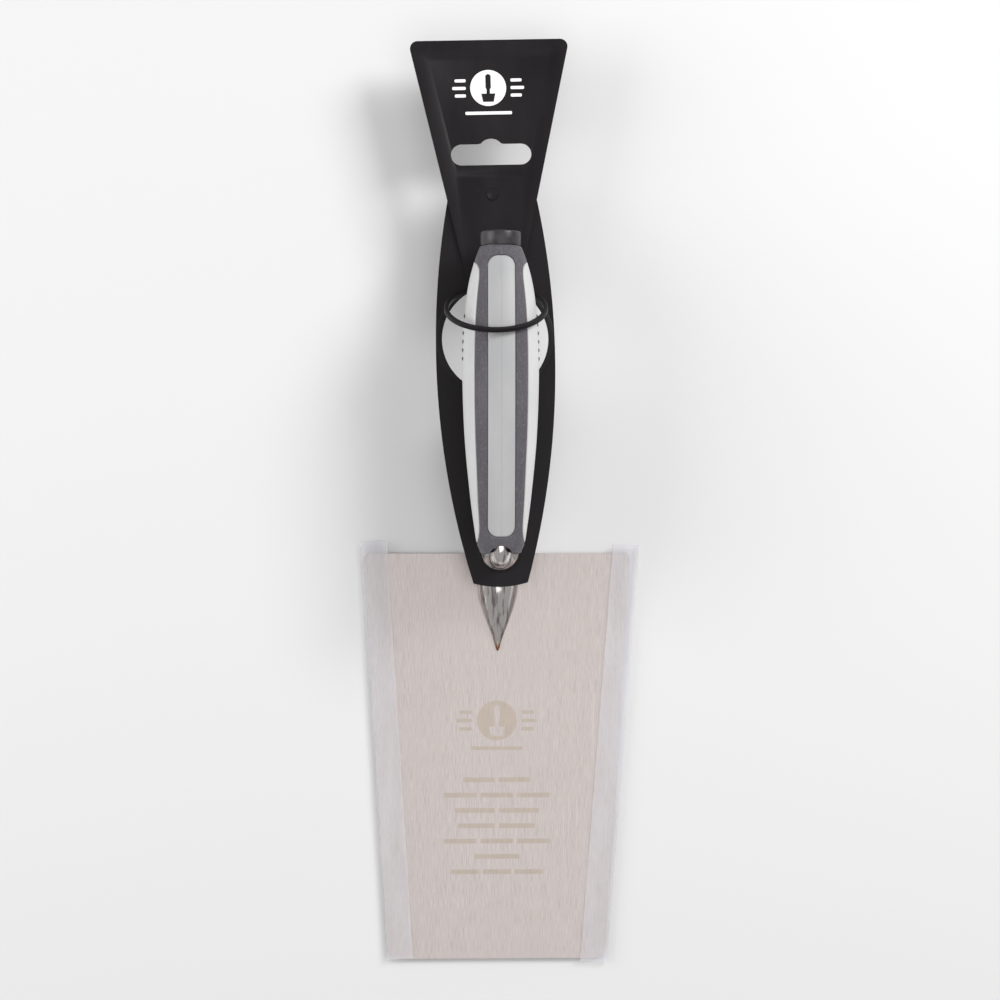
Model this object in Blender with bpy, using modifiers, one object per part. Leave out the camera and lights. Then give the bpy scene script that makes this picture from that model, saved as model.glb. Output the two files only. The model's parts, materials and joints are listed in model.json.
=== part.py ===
"""Bucket trowel with a two-part grip, two edge guards and a folded plastic hanger.

The trowel lies on its blade. +Z is up, the handle points along +Y and the toe of the blade along -Y.
The origin is at the middle of the object's base. Lengths are in metres.
"""

import math

import bmesh
import bpy
from mathutils import Matrix, Vector

MM = 0.001
GAP = 0.3 * MM

# Driving dimensions
BLADE_LENGTH = 165.0 * MM
BLADE_HEEL_HALF = 54.25 * MM
BLADE_TOE_HALF = 44.35 * MM
BLADE_THICKNESS = 1.2 * MM
HANDLE_LENGTH = 119.8 * MM
HANDLE_AXIS_HEIGHT = 45.0 * MM
ROD_RADIUS = 4.4 * MM
GUARD_LENGTH = 170.4 * MM
GUARD_WALL = 0.5 * MM
HANGER_THICKNESS = 1.2 * MM
HANGER_LEAN = math.radians(1.29)
RING_OPEN_ANGLE = math.radians(60.5)

# Places that follow from them. BLADE_X puts the object's box symmetric about X = 0.
BLADE_X = -1.32 * MM
HEEL_Y = -19.31 * MM
TOE_Y = HEEL_Y - BLADE_LENGTH
BLADE_BOTTOM = GUARD_WALL + GAP
BLADE_TOP = BLADE_BOTTOM + BLADE_THICKNESS
NECK_Y = HEEL_Y - 0.9 * MM
HANDLE_X = BLADE_X + 0.3 * MM
HANDLE_Y = NECK_Y + 1.7 * MM
LEAF_Z = 23.4 * MM
HEADER_Z = LEAF_Z + HANGER_THICKNESS + GAP
HINGE_Z = HEADER_Z + HANGER_THICKNESS / 2

# Grip: radius at distances from the handle's front end
GRIP_STATIONS = ((1.5, 8.2), (4.0, 9.3), (10.0, 10.3), (23.0, 12.0), (44.0, 14.0), (66.0, 14.9),
                 (86.0, 14.65), (102.0, 13.1), (112.6, 10.7), (119.8, 8.1))
SLEEVE_WALL = 2.0 * MM
BORE_RADIUS = ROD_RADIUS + 0.5 * MM
MOUTH_RADIUS = ROD_RADIUS + 1.0 * MM
ELBOW_RADIUS = 5.0 * MM
PANEL_HALF_WIDTH = 5.5 * MM
PANEL_START = 6.6 * MM
PANEL_END = 115.7 * MM
# Side panel: half-height at distances from the front end, round at both ends
SIDE_OUTLINE = ((4.3, 0.0), (5.2, 2.7), (9.6, 5.6), (23.0, 7.7), (40.0, 9.5), (63.0, 10.6),
                (84.0, 10.6), (100.0, 9.6), (108.0, 8.3), (112.2, 5.6), (114.0, 0.0))

# Hanger: distances up from the neck hole's centre
HOLE_RADIUS = 7.5 * MM
HOLE_SHIFT_Y = 2.35 * MM
LEAF_MAX_HALF = 23.75 * MM
LEAF_SIDE_RADIUS = 325.0 * MM
LEAF_WIDEST = 78.0 * MM
LEAF_FOOT = -12.7 * MM
LEAF_TOP = 143.0 * MM
LEAF_CROWN_DEPTH = 24.0 * MM
OPENING_CENTRE = 84.5 * MM
OPENING_RADIUS = 21.2 * MM
HEADER_FOOT = 107.1 * MM
HEADER_TOP = 203.4 * MM
HEADER_FOOT_HALF = 10.5 * MM
HEADER_TOP_HALF = 32.1 * MM
SLOT_CENTRE = 157.9 * MM
SLOT_SIZE = (32.0 * MM, 8.4 * MM)
RECESS_DEPTH = 0.5 * MM
STUD_CENTRE = 142.0 * MM
RING_OUTER = 20.3 * MM
RING_INNER = 18.5 * MM
RING_DEPTH = 1.8 * MM
HINGE_AT = 106.2 * MM
HINGE_TO_RING = 2.2 * MM
HINGE_TAB = (6.0 * MM, 2.9 * MM, 0.6 * MM)


def clear_scene():
    for obj in list(bpy.data.objects):
        bpy.data.objects.remove(obj, do_unlink=True)


def new_collection(name):
    group = bpy.data.collections.new(name)
    bpy.context.scene.collection.children.link(group)
    return group


def material(name, colour, roughness, metallic=0.0):
    made = bpy.data.materials.new(name)
    made.use_nodes = True
    shader = made.node_tree.nodes["Principled BSDF"]
    shader.inputs["Base Color"].default_value = (*colour, 1.0)
    shader.inputs["Roughness"].default_value = roughness
    shader.inputs["Metallic"].default_value = metallic
    return made


def add_mesh(name, mesh, finish=None):
    """Link a mesh as a part, or as a hidden cutter when it has no finish."""
    obj = bpy.data.objects.new(name, mesh)
    if finish is None:
        cutters.objects.link(obj)
        obj.hide_render = True
        obj.display_type = "WIRE"
    else:
        parts.objects.link(obj)
        mesh.materials.append(finish)
        mesh.shade_smooth()
        mesh.set_sharp_from_angle(angle=math.radians(35))
    return obj


def plate(name, outlines, low, high, finish=None):
    """A flat plate between two heights; the outlines after the first are its holes."""
    curve = bpy.data.curves.new(name, "CURVE")
    curve.dimensions = "2D"
    curve.fill_mode = "BOTH"
    curve.extrude = (high - low) / 2
    for points in outlines:
        spline = curve.splines.new("POLY")
        spline.points.add(len(points) - 1)
        for place, (x, y) in zip(spline.points, points):
            place.co = (x, y, 0.0, 1.0)
        spline.use_cyclic_u = True
    guide = bpy.data.objects.new(name + "_outline", curve)
    parts.objects.link(guide)
    mesh = bpy.data.meshes.new_from_object(guide.evaluated_get(bpy.context.evaluated_depsgraph_get()))
    bpy.data.objects.remove(guide, do_unlink=True)
    work = bmesh.new()
    work.from_mesh(mesh)
    bmesh.ops.remove_doubles(work, verts=work.verts, dist=1e-6)
    bmesh.ops.translate(work, verts=work.verts, vec=(0.0, 0.0, (low + high) / 2))
    work.to_mesh(mesh)
    work.free()
    return add_mesh(name, mesh, finish)


def turned(name, profile, steps, finish=None):
    """Turn a closed or axis-to-axis (radius, height) profile round Z, then lay its axis along +Y."""
    closed = min(radius for radius, _ in profile) > 0
    work = bmesh.new()
    points = [work.verts.new((radius, 0.0, height)) for radius, height in profile]
    for first, second in zip(points, points[1:]):
        work.edges.new((first, second))
    if closed:
        work.edges.new((points[-1], points[0]))
    mesh = bpy.data.meshes.new(name)
    work.to_mesh(mesh)
    work.free()
    obj = add_mesh(name, mesh, finish)
    screw = obj.modifiers.new("turn", "SCREW")
    screw.steps = steps
    screw.render_steps = steps
    screw.use_merge_vertices = True
    screw.merge_threshold = 0.00001
    obj.matrix_world = Matrix.Rotation(math.radians(-90), 4, "X")
    return obj


def boolean(target, tool, operation="DIFFERENCE"):
    cut = target.modifiers.new(tool.name, "BOOLEAN")
    cut.object = tool
    cut.operation = operation


def arc(centre, radius, start, end, steps):
    """Points on an arc; the angles are in degrees."""
    angles = [math.radians(start + (end - start) * i / steps) for i in range(steps + 1)]
    return [(centre[0] + radius * math.cos(a), centre[1] + radius * math.sin(a)) for a in angles]


def rounded_outline(corners, steps=4):
    """Round each (x, y, radius) corner of a polygon with an arc that touches both its sides."""
    points = []
    for i, (x, y, radius) in enumerate(corners):
        corner = Vector((x, y))
        before = (Vector(corners[i - 1][:2]) - corner).normalized()
        after = (Vector(corners[(i + 1) % len(corners)][:2]) - corner).normalized()
        half = before.angle(after) / 2
        centre = corner + (before + after).normalized() * radius / math.sin(half)
        start = corner + before * radius / math.tan(half) - centre
        turn = start.angle_signed(corner + after * radius / math.tan(half) - centre)
        for step in range(steps + 1):
            spot = centre + Matrix.Rotation(-turn * step / steps, 2) @ start
            points.append((spot.x, spot.y))
    return points


def smooth_through(stations, count):
    """A Catmull-Rom line through (distance, value) stations in mm, given back in metres."""
    padded = [stations[0], *stations, stations[-1]]
    line = []
    for i in range(len(stations) - 1):
        a, b, c, d = (Vector(padded[i + k]) for k in range(4))
        for step in range(count):
            t = step / count
            spot = 0.5 * (2 * b + (c - a) * t + (2 * a - 5 * b + 4 * c - d) * t ** 2
                          + (3 * b - a - 3 * c + d) * t ** 3)
            line.append((spot.x * MM, spot.y * MM))
    line.append((stations[-1][0] * MM, stations[-1][1] * MM))
    return line


def grip_line(inset, start, end):
    """(radius, distance) points down the grip's side, from its butt to its front."""
    line = [(radius - inset, at) for at, radius in smooth_through(GRIP_STATIONS, 3)]
    kept = [(radius, at) for radius, at in line if start < at < end]
    return kept[::-1]


def place_on_handle(obj):
    obj.matrix_world = Matrix.Translation((HANDLE_X, HANDLE_Y, HANDLE_AXIS_HEIGHT)) @ obj.matrix_world


def hanger_matrix():
    return Matrix.Translation((HANDLE_X + 0.35 * MM, NECK_Y + HOLE_SHIFT_Y, 0.0)) @ Matrix.Rotation(
        HANGER_LEAN, 4, "Z")


def build_blade(steel):
    outline = rounded_outline((
        (-BLADE_HEEL_HALF, HEEL_Y, 2.2 * MM),
        (-BLADE_TOE_HALF, TOE_Y, 5.0 * MM),
        (BLADE_TOE_HALF, TOE_Y, 5.0 * MM),
        (BLADE_HEEL_HALF, HEEL_Y, 2.2 * MM),
    ), steps=6)
    blade = plate("blade", [outline], BLADE_BOTTOM, BLADE_TOP, steel)
    blade.location.x = BLADE_X


def tang_sections():
    """(lower point, upper point, half-width, share of the depth below the widest line) along the tang.

    The rod runs in the handle, bends down into the neck, sweeps forward and ends as a beak on the blade.
    Its lower side becomes the back of the neck, and then the underside of the beak.
    """
    base = BLADE_TOP + GAP
    axis = HANDLE_AXIS_HEIGHT
    elbow = (NECK_Y + ELBOW_RADIUS, axis - ELBOW_RADIUS)
    sweep = (NECK_Y - 15.0 * MM, base + 20.2 * MM)
    sections = []
    for length, radius in ((84.0, 2.0), (80.0, 3.6), (72.0, ROD_RADIUS / MM), (4.4, ROD_RADIUS / MM)):
        y = HANDLE_Y + length * MM
        sections.append(((y, axis - radius * MM), (y, axis + radius * MM), radius * MM, 0.5))
    for degrees in range(0, 91, 15):
        angle = math.radians(90 + degrees)
        ray = Vector((math.cos(angle), math.sin(angle)))
        outer = Vector(elbow) + ray * (ELBOW_RADIUS + ROD_RADIUS)
        inner = Vector(elbow) + ray * (ELBOW_RADIUS - ROD_RADIUS)
        sections.append((tuple(inner), tuple(outer), ROD_RADIUS, 0.5))
    for degrees, half, share in ((0, 4.4, 0.5), (15, 5.0, 0.46), (30, 6.1, 0.4), (45, 7.4, 0.33),
                                 (60, 8.4, 0.25), (75, 8.6, 0.18), (90, 8.3, 0.12)):
        angle = math.radians(degrees)
        ray = Vector((math.cos(angle), -math.sin(angle)))
        back = Vector(sweep) + ray * (19.4 + 0.8 * degrees / 90) * MM
        front = Vector(sweep) + ray * (10.6 - 0.3 * degrees / 90) * MM
        sections.append((tuple(back), tuple(front), half * MM, share))
    for reach, top, half in ((4.6, 7.7, 7.1), (9.0, 6.0, 5.6), (13.0, 4.2, 4.1), (16.4, 2.7, 2.7),
                             (19.8, 1.5, 1.5), (22.6, 0.9, 0.8), (23.8, 0.6, 0.3)):
        y = sweep[0] - reach * MM
        sections.append(((y, base), (y, base + top * MM), half * MM, 0.12))
    return sections


def build_tang(steel):
    sides = 20
    work = bmesh.new()
    rings = []
    for back, front, half, share in tang_sections():
        low = Vector(back)
        reach = Vector(front) - low
        ring = []
        for i in range(sides):
            angle = math.tau * i / sides
            rise = math.sin(angle)
            along = share + rise * (1 - share if rise > 0 else share)
            spot = low + reach * along
            ring.append(work.verts.new((half * math.cos(angle), spot.x, spot.y)))
        rings.append(ring)
    for first, second in zip(rings, rings[1:]):
        for i in range(sides):
            j = (i + 1) % sides
            work.faces.new((first[i], first[j], second[j], second[i]))
    work.faces.new(rings[0])
    work.faces.new(rings[-1])
    bmesh.ops.recalc_face_normals(work, faces=work.faces)
    mesh = bpy.data.meshes.new("tang")
    work.to_mesh(mesh)
    work.free()
    add_mesh("tang", mesh, steel).location.x = HANDLE_X


def window_cutters(name, clearance):
    """Prisms through the front and back windows and through the two side windows, narrowed by a clearance."""
    half = PANEL_HALF_WIDTH - clearance
    low = PANEL_START + clearance
    high = PANEL_END - clearance
    corner = 4.0 * MM
    outline = rounded_outline(((-half, high, corner), (-half, low, corner),
                               (half, low, corner), (half, high, corner)), steps=4)
    front = plate(name + "_front", [outline], -20 * MM, 20 * MM)
    place_on_handle(front)

    middle = (SIDE_OUTLINE[0][0] + SIDE_OUTLINE[-1][0]) / 2 * MM
    reach = (SIDE_OUTLINE[-1][0] - SIDE_OUTLINE[0][0]) / 2 * MM
    upper = []
    for at, height in smooth_through(SIDE_OUTLINE, 2):
        upper.append((middle + (at - middle) * (reach - clearance) / reach, max(height - clearance, 0.0)))
    lower = [(at, -height) for at, height in upper[1:-1]]
    side = plate(name + "_side", [upper + lower[::-1]], -20 * MM, 20 * MM)
    lay_on_side = Matrix(((0, 0, 1, 0), (1, 0, 0, 0), (0, 1, 0, 0), (0, 0, 0, 1)))
    side.matrix_world = lay_on_side
    place_on_handle(side)
    return front, side


def build_handle(core_finish, sleeve_finish, cap_finish):
    length = HANDLE_LENGTH
    notch_radius = ROD_RADIUS + 0.5 * MM
    notch = plate("neck_notch", [arc((HANDLE_X, NECK_Y), notch_radius, 0, 345, 23)],
                  HANDLE_AXIS_HEIGHT - 20 * MM, HANDLE_AXIS_HEIGHT + 20 * MM)

    sleeve_profile = [(8.0 * MM, length)]
    sleeve_profile += grip_line(0.0, 1.2 * MM, length)
    sleeve_profile += [(7.4 * MM, 0.3 * MM), (6.6 * MM, 0.0), (MOUTH_RADIUS, 0.0)]
    sleeve_profile += [(MOUTH_RADIUS, 1.6 * MM), (6.4 * MM, 1.6 * MM)]
    sleeve_profile += grip_line(SLEEVE_WALL, 2.5 * MM, length - 3 * MM)[::-1]
    sleeve_profile += [(6.9 * MM, length - 2.0 * MM), (BORE_RADIUS, length - 2.0 * MM), (BORE_RADIUS, length)]
    sleeve = turned("grip_sleeve", sleeve_profile, 40, sleeve_finish)
    place_on_handle(sleeve)
    for window in window_cutters("window", 0.0):
        boolean(sleeve, window)
    boolean(sleeve, notch)

    core_profile = [(6.6 * MM, length - 2.3 * MM)]
    core_profile += grip_line(SLEEVE_WALL + GAP, 2.8 * MM, length - 3.2 * MM)
    core_profile += [(6.0 * MM, 1.9 * MM), (BORE_RADIUS, 1.9 * MM), (BORE_RADIUS, length - 2.3 * MM)]
    core = turned("handle_core", core_profile, 40, core_finish)
    place_on_handle(core)
    inner = grip_line(SLEEVE_WALL + 1.0 * MM, 3.0 * MM, length - 3 * MM)[::-1]
    stock_profile = grip_line(0.0, 3.0 * MM, length - 3 * MM) + inner
    for window in window_cutters("panel", GAP):
        stock = turned(window.name + "_stock", stock_profile, 40)
        place_on_handle(stock)
        boolean(stock, window, "INTERSECT")
        boolean(core, stock, "UNION")
    boolean(core, notch)

    start = length + GAP
    cap_profile = [(0.0, start + 5.6 * MM), (7.2 * MM, start + 5.6 * MM), (7.86 * MM, start + 5.0 * MM),
                   (7.86 * MM, start + 0.5 * MM), (7.5 * MM, start), (4.3 * MM, start),
                   (4.3 * MM, start - 10 * MM), (3.8 * MM, start - 10.6 * MM), (0.0, start - 10.6 * MM)]
    place_on_handle(turned("butt_cap", cap_profile, 40, cap_finish))


def build_guard(name, side, fold_x, past_toe, angle, plastic):
    """A U-channel over one edge of the blade. side is +1 right, -1 left; angle is the fold's lean from Y."""
    height = 2.8 * MM
    bend = 0.8 * MM
    section = [(10.6 * MM, 0.0)]
    section += arc((bend, bend), bend, 270, 180, 3)
    section += arc((bend, height - bend), bend, 180, 90, 3)
    section += [(9.0 * MM, height), (11.0 * MM, height + 0.5 * MM)]
    work = bmesh.new()
    near = [work.verts.new((-side * across, 0.0, up)) for across, up in section]
    far = [work.verts.new((-side * across, GUARD_LENGTH, up)) for across, up in section]
    for i in range(len(section) - 1):
        work.faces.new((near[i], near[i + 1], far[i + 1], far[i]))
    mesh = bpy.data.meshes.new(name)
    work.to_mesh(mesh)
    work.free()
    guard = add_mesh(name, mesh, plastic)
    wall = guard.modifiers.new("wall", "SOLIDIFY")
    wall.thickness = GUARD_WALL
    wall.offset = side
    wall.use_even_offset = True
    lean = Matrix.Rotation(-side * angle, 4, "Z")
    guard.matrix_world = Matrix.Translation((BLADE_X + side * fold_x, TOE_Y - past_toe, 0.0)) @ lean


def build_hanger(black):
    place = hanger_matrix()

    def side_half(at):
        drop = LEAF_SIDE_RADIUS - math.sqrt(LEAF_SIDE_RADIUS ** 2 - (at - LEAF_WIDEST) ** 2)
        return LEAF_MAX_HALF - drop

    steps = 22
    right = [LEAF_FOOT + (LEAF_TOP - LEAF_FOOT) * i / steps for i in range(steps + 1)]
    outline = [(side_half(at), at) for at in right]
    crown_radius = math.hypot(side_half(LEAF_TOP), LEAF_CROWN_DEPTH)
    crown_start = math.degrees(math.atan2(LEAF_CROWN_DEPTH, side_half(LEAF_TOP)))
    crown = arc((0.0, LEAF_TOP - LEAF_CROWN_DEPTH), crown_radius, crown_start, 180 - crown_start, 8)
    outline += crown[1:-1]
    outline += [(-half, at) for half, at in outline[:steps + 1][::-1]]
    foot_radius = 38.0 * MM
    foot_half = side_half(LEAF_FOOT)
    rise = math.sqrt(foot_radius ** 2 - foot_half ** 2)
    spread = math.degrees(math.asin(foot_half / foot_radius))
    outline += arc((0.0, LEAF_FOOT + rise), foot_radius, 270 - spread, 270 + spread, 6)[1:-1]
    hole = arc((0.0, 0.0), HOLE_RADIUS, 0, 345, 23)
    opening = arc((0.0, OPENING_CENTRE), OPENING_RADIUS, 0, 352.5, 47)
    leaf = plate("hanger_leaf", [outline, hole, opening], LEAF_Z, LEAF_Z + HANGER_THICKNESS, black)
    leaf.matrix_world = place

    corners = ((-HEADER_TOP_HALF, HEADER_TOP, 3.0 * MM), (-HEADER_FOOT_HALF, HEADER_FOOT, 1.0 * MM),
               (HEADER_FOOT_HALF, HEADER_FOOT, 1.0 * MM), (HEADER_TOP_HALF, HEADER_TOP, 3.0 * MM))
    slot_half = SLOT_SIZE[0] / 2
    slot_round = SLOT_SIZE[1] / 2
    slot = arc((slot_half - slot_round, SLOT_CENTRE), slot_round, -90, 90, 8)
    slot_top = SLOT_CENTRE + slot_round
    slot += arc((0.0, slot_top - 3.0 * MM), 5.15 * MM, 35.6, 90, 5)
    slot += [(-x, y) for x, y in slot[::-1][1:]]
    header = plate("hanger_header", [rounded_outline(corners), slot], HEADER_Z,
                   HEADER_Z + HANGER_THICKNESS, black)
    header.matrix_world = place
    panel_foot = 148.8 * MM
    panel_top = HEADER_TOP - 5.7 * MM

    def panel_half(at):
        share = (at - HEADER_FOOT) / (HEADER_TOP - HEADER_FOOT)
        return HEADER_FOOT_HALF + (HEADER_TOP_HALF - HEADER_FOOT_HALF) * share - 6.5 * MM

    recess = plate("header_recess", [rounded_outline((
        (-panel_half(panel_top), panel_top, 2.0 * MM), (-panel_half(panel_foot), panel_foot, 2.0 * MM),
        (panel_half(panel_foot), panel_foot, 2.0 * MM), (panel_half(panel_top), panel_top, 2.0 * MM)))],
        HEADER_Z + HANGER_THICKNESS - RECESS_DEPTH, HEADER_Z + HANGER_THICKNESS + 2 * MM)
    recess.matrix_world = place
    boolean(header, recess)

    stud_hole = plate("stud_hole", [arc((0.0, STUD_CENTRE), 1.7 * MM, 0, 337.5, 15)],
                      LEAF_Z - 2 * MM, HEADER_Z + 4 * MM)
    stud_hole.matrix_world = place
    boolean(header, stud_hole)
    boolean(leaf, stud_hole)
    top = HEADER_Z + HANGER_THICKNESS + GAP
    low = LEAF_Z - GAP
    stud_profile = ((0.0, top + 0.5 * MM), (2.0 * MM, top + 0.5 * MM), (2.5 * MM, top + 0.25 * MM),
                    (2.5 * MM, top), (1.4 * MM, top), (1.4 * MM, low), (2.5 * MM, low),
                    (2.5 * MM, low - 0.6 * MM), (0.0, low - 0.6 * MM))
    stud = turned("hanger_stud", stud_profile, 16, black)
    stud.matrix_world = place @ Matrix.Translation((0.0, STUD_CENTRE, 0.0))


def build_ring(black):
    """The tie ring, hinged at the end of the header's tongue and swung up round the grip."""
    edge = 0.3 * MM
    half = RING_DEPTH / 2
    profile = [(RING_OUTER - edge, half), (RING_OUTER, half - edge), (RING_OUTER, edge - half),
               (RING_OUTER - edge, -half), (RING_INNER + edge, -half), (RING_INNER, edge - half),
               (RING_INNER, half - edge), (RING_INNER + edge, half)]
    ring = turned("hanger_ring", profile, 48, black)
    width, length, thickness = HINGE_TAB
    tab = plate("ring_tab", [rounded_outline((
        (-width / 2, 0.0, 0.5 * MM), (-width / 2, -length, 0.2 * MM),
        (width / 2, -length, 0.2 * MM), (width / 2, 0.0, 0.5 * MM)))], -thickness / 2, thickness / 2)
    swing = (hanger_matrix() @ Matrix.Translation((0.0, HINGE_AT, HINGE_Z))
             @ Matrix.Rotation(-RING_OPEN_ANGLE, 4, "X"))
    ring.matrix_world = swing @ Matrix.Translation((0.0, -HINGE_TO_RING - RING_OUTER, 0.0))
    tab.matrix_world = swing
    boolean(ring, tab, "UNION")


clear_scene()
parts = new_collection("bucket_trowel")
cutters = new_collection("cutters")

build_blade(material("brushed_steel", (0.62, 0.59, 0.57), 0.38, 1.0))
build_tang(material("polished_steel", (0.72, 0.70, 0.68), 0.14, 1.0))
build_handle(material("grey_core", (0.52, 0.53, 0.54), 0.5), material("grip_rubber", (0.09, 0.08, 0.10), 0.75),
             material("cap_plastic", (0.07, 0.065, 0.075), 0.45))
hanger_black = material("hanger_black", (0.028, 0.022, 0.026), 0.5)
build_hanger(hanger_black)
build_ring(hanger_black)
frosted = material("frosted_plastic", (0.80, 0.80, 0.85), 0.5)
build_guard("edge_guard_left", -1, 45.12 * MM, 0.3 * MM, math.radians(3.565), frosted)
build_guard("edge_guard_right", 1, 45.0 * MM, 1.8 * MM, math.radians(4.507), frosted)
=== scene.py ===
"""Looks of a bucket trowel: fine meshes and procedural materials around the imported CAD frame.

Lengths are in metres. Places come from the frame's boxes and joints.
+Y runs from the toe to the hanger's top.
"""

import json
import math

import bmesh
import bpy
from mathutils import Matrix, Vector


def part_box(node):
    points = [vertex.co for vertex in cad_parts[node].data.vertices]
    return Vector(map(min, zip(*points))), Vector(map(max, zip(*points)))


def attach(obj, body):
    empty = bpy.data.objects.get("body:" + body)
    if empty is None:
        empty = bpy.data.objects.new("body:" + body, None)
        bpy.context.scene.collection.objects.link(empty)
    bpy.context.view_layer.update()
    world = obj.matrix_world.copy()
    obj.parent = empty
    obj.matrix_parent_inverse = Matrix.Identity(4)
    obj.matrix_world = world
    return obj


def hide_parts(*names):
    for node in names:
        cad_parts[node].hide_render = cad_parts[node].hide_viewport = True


MM = 0.001
SHARP_ANGLE = math.radians(38)

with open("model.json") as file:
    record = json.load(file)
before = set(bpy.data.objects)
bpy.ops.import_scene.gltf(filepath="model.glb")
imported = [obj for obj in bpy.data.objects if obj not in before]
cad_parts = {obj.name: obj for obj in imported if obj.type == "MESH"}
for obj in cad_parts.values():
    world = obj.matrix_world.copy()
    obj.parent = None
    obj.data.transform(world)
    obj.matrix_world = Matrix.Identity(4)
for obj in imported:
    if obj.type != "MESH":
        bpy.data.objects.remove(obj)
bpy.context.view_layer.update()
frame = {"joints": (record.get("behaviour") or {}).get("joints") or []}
joints = {joint["name"]: joint for joint in frame["joints"]}

# Places read from the frame
blade_low, blade_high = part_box("blade")
sleeve_low, sleeve_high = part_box("grip_sleeve")
cap_low, cap_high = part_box("butt_cap")
leaf_low, leaf_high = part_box("hanger_leaf")
header_low, header_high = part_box("hanger_header")
stud_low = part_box("hanger_stud")[0]
BLADE_X = (blade_low.x + blade_high.x) / 2
BLADE_TOP = blade_high.z
HEEL_Y = blade_high.y
TOE_Y = blade_low.y
AXIS_X = (cap_low.x + cap_high.x) / 2
AXIS_Z = (cap_low.z + cap_high.z) / 2
FRONT_Y = sleeve_low.y
GRIP_LENGTH = sleeve_high.y - sleeve_low.y
CAP_RADIUS = (cap_high.x - cap_low.x) / 2
SWAY_PLACE = Vector(joints["hanger_sway"]["pos_m"])
NECK_Y = SWAY_PLACE.y
HINGE_PLACE = Vector(joints["ring_hinge"]["pos_m"])
HINGE_AXIS = Vector(joints["ring_hinge"]["axis"])
LEAN = math.atan2(-HINGE_AXIS.y, -HINGE_AXIS.x)

# Sizes that the frame's boxes don't give. They are the CAD's, except that RING_OUTER is 0.05 mm less:
# this ring is rounder than the CAD's, and has to stay inside its box.
ROD_RADIUS = 4.4 * MM
BLADE_HEEL_HALF = (blade_high.x - blade_low.x) / 2
BLADE_TOE_HALF = BLADE_HEEL_HALF - 9.8 * MM
GRIP_STATIONS = ((1.5, 8.2), (4.0, 9.3), (10.0, 10.3), (23.0, 12.0), (44.0, 14.0), (66.0, 14.9),
                 (86.0, 14.65), (102.0, 13.1), (112.6, 10.7), (119.8, 8.1))
SIDE_OUTLINE = ((4.3, 0.0), (5.2, 2.7), (9.6, 5.6), (23.0, 7.7), (40.0, 9.5), (63.0, 10.6),
                (84.0, 10.6), (100.0, 9.6), (108.0, 8.3), (112.2, 5.6), (114.0, 0.0))
PANEL_HALF = 5.5 * MM
PANEL_START = 6.6 * MM
PANEL_END = 115.7 * MM
PANEL_CORNER = 4.0 * MM
HOLE_RADIUS = 7.5 * MM
HOLE_SHIFT = Vector((0.35 * MM, 2.35 * MM, 0.0))
LEAF_MAX_HALF = 23.75 * MM
LEAF_SIDE_RADIUS = 325.0 * MM
LEAF_WIDEST = 78.0 * MM
LEAF_FOOT = -12.7 * MM
LEAF_FOOT_RADIUS = 38.0 * MM
LEAF_TOP = 143.0 * MM
LEAF_CROWN_DEPTH = 24.0 * MM
OPENING_CENTRE = 84.5 * MM
OPENING_RADIUS = 21.2 * MM
HEADER_FOOT = 107.1 * MM
HEADER_TOP = 203.4 * MM
HEADER_FOOT_HALF = 10.5 * MM
HEADER_TOP_HALF = 32.1 * MM
SLOT_CENTRE = 157.9 * MM
SLOT_HALF = 16.0 * MM
SLOT_ROUND = 4.2 * MM
STUD_CENTRE = 142.0 * MM
RING_OUTER = 20.25 * MM
RING_INNER = 18.5 * MM
RING_DEPTH = 1.8 * MM
HINGE_TO_RING = 2.2 * MM
OPEN_ANGLE = math.radians(60.5)
GUARD_LENGTH = 170.4 * MM
GUARD_WALL = 0.5 * MM

HANGER = Matrix.Translation(Vector((SWAY_PLACE.x, NECK_Y, 0.0)) + HOLE_SHIFT) @ Matrix.Rotation(LEAN, 4, "Z")


# ---- Node helpers ----------------------------------------------------------------------------------

def new_material(name, colour, roughness, metallic=0.0):
    made = bpy.data.materials.new(name)
    made.use_nodes = True
    shader = made.node_tree.nodes["Principled BSDF"]
    shader.inputs["Base Color"].default_value = (*colour, 1.0)
    shader.inputs["Roughness"].default_value = roughness
    shader.inputs["Metallic"].default_value = metallic
    return made, made.node_tree, shader


def place_on_object(tree, scale=(1.0, 1.0, 1.0)):
    where = tree.nodes.new("ShaderNodeTexCoord")
    mapping = tree.nodes.new("ShaderNodeMapping")
    mapping.inputs["Scale"].default_value = scale
    tree.links.new(where.outputs["Object"], mapping.inputs["Vector"])
    return mapping.outputs["Vector"]


def noise(tree, scale, detail=3.0, rough=0.5):
    """Noise whose cells are 1/scale metres along each axis."""
    texture = tree.nodes.new("ShaderNodeTexNoise")
    texture.inputs["Scale"].default_value = 1.0
    texture.inputs["Detail"].default_value = detail
    texture.inputs["Roughness"].default_value = rough
    tree.links.new(place_on_object(tree, scale), texture.inputs["Vector"])
    return texture.outputs["Fac"]


def spread(tree, value, low_in, high_in, low_out, high_out):
    node = tree.nodes.new("ShaderNodeMapRange")
    numbers = (low_in, high_in, low_out, high_out)
    for socket, number in zip(("From Min", "From Max", "To Min", "To Max"), numbers):
        node.inputs[socket].default_value = number
    tree.links.new(value, node.inputs["Value"])
    return node.outputs["Result"]


def mixed(tree, share, first, second, blend="MIX"):
    """Mix two colours; either one is a colour or a socket."""
    node = tree.nodes.new("ShaderNodeMix")
    node.data_type = "RGBA"
    node.blend_type = blend
    for socket, colour in ((node.inputs[6], first), (node.inputs[7], second)):
        if isinstance(colour, tuple):
            socket.default_value = (*colour, 1.0)
        else:
            tree.links.new(colour, socket)
    if isinstance(share, float):
        node.inputs[0].default_value = share
    else:
        tree.links.new(share, node.inputs[0])
    return node.outputs[2]


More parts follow.
